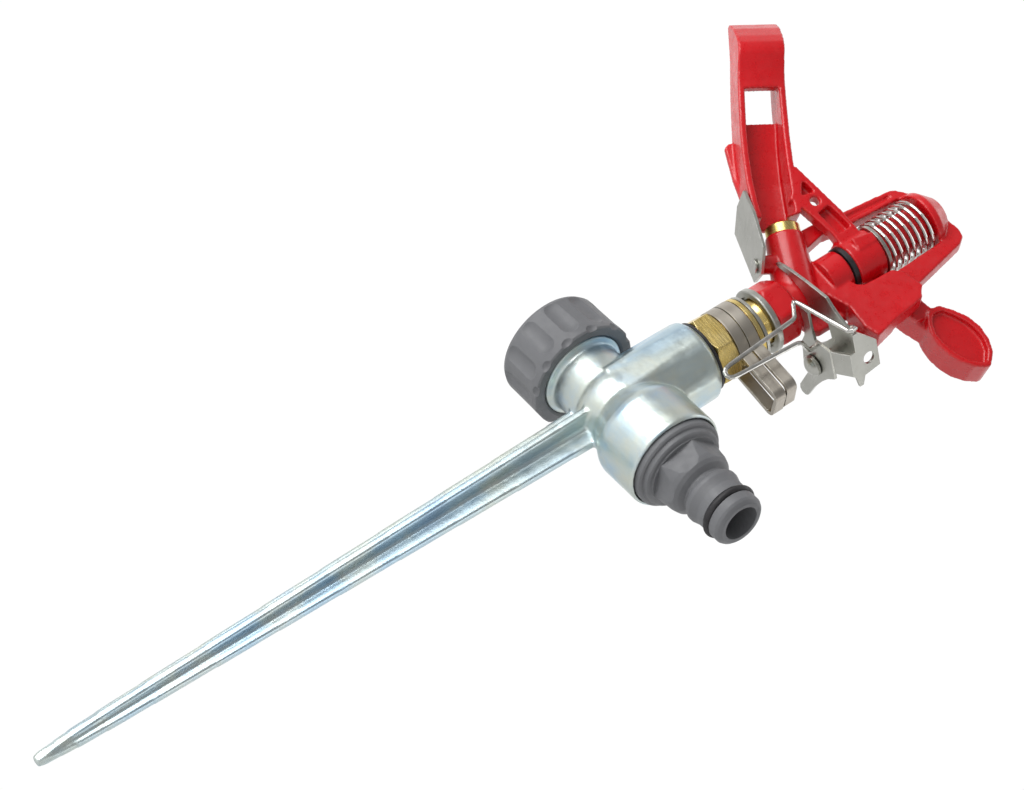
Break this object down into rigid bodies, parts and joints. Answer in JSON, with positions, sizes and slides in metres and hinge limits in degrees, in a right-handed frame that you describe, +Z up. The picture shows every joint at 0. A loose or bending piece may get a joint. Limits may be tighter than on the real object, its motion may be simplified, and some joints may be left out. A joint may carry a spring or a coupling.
{
  "type": "impulse sprinkler",
  "caption": "Hammer-arm impulse sprinkler with a brass bearing and sector collars on a cast ground spike, with a hose connector and a screw cap on its tee.",
  "frame": {"origin": "where the riser axis crosses the axis of the hose connector, at the centre of the tee", "axes": "+Z up the riser, with the spike pointing down; +X along the pipe towards the hose connector; the screw cap is towards -X"},
  "size_m": [0.1333, 0.0651, 0.3094],
  "materials": {
    "zinc_casting": "blue passivated zinc die casting, semi-gloss",
    "black_rubber": "matte",
    "brass": "turned, satin",
    "gray_plastic": "fine matte moulded",
    "nickel_strip": "nickel plated, satin",
    "steel_sheet": "stainless sheet, satin",
    "spring_wire": "bright drawn wire",
    "red_paint": "gloss paint over a cast surface",
    "white_nylon": "matte",
    "black_nylon": "satin"
  },
  "bodies": {
    "base": {"spike_tee": "zinc_casting", "nut_gasket": "black_rubber", "bearing_nut": "brass", "connector_gasket": "black_rubber", "hose_connector": "gray_plastic", "connector_ring": "black_rubber"},
    "cap": {"end_cap": "gray_plastic", "cap_gasket": "black_rubber"},
    "lower_stop": {"lower_collar": "nickel_strip"},
    "upper_stop": {"upper_collar": "nickel_strip"},
    "head": {"bearing_sleeve": "brass", "seal_washer": "black_rubber", "wear_washer": "white_nylon", "thrust_washer": "steel_sheet", "bearing_spring": "spring_wire", "cup_washer": "steel_sheet", "head_body": "red_paint", "nozzle": "brass", "deflector_rivet": "steel_sheet", "fulcrum_pin": "steel_sheet", "trip_rivet": "steel_sheet", "trip_spacer": "steel_sheet", "trip_spring": "spring_wire"},
    "deflector": {"deflector_plate": "steel_sheet"},
    "arm": {"hammer_arm": "red_paint", "arm_bush": "black_nylon", "spring_seat": "steel_sheet", "arm_spring": "spring_wire"},
    "trip": {"trip_lever": "steel_sheet", "trip_wire": "spring_wire"}
  },
  "joints": [
    {"name": "head_swivel", "type": "hinge", "parent": "base", "child": "head", "pos_m": [0, 0, 0.05], "axis": [0, 0, 1], "range_deg": [-280, 2]},
    {"name": "lower_stop_turn", "type": "hinge", "parent": "base", "child": "lower_stop", "pos_m": [0, 0, 0.0385], "axis": [0, 0, 1], "range_deg": [-6, 276]},
    {"name": "upper_stop_turn", "type": "hinge", "parent": "base", "child": "upper_stop", "pos_m": [0, 0, 0.0424], "axis": [0, 0, 1], "range_deg": [-6, 276]},
    {"name": "arm_swing", "type": "hinge", "parent": "head", "child": "arm", "pos_m": [0, 0, 0.09], "axis": [0, 0, 1], "range_deg": [0, 100], "stiffness_Nm_per_rad": 0.02, "springref_deg": -22.92},
    {"name": "trip_turn", "type": "hinge", "parent": "head", "child": "trip", "pos_m": [0.01537, 0.01087, 0.064], "axis": [0, 0, 1], "range_deg": [0, 5], "stiffness_Nm_per_rad": 0.02},
    {"name": "deflector_turn", "type": "hinge", "parent": "head", "child": "deflector", "pos_m": [-0.01173, -0.00661, 0.06151], "axis": [0.4035, 0.1713, 0.8988], "range_deg": [-6, 6]},
    {"name": "cap_turn", "type": "hinge", "parent": "base", "child": "cap", "pos_m": [-0.024, 0, 0], "axis": [1, 0, 0], "continuous": true}
  ]
}
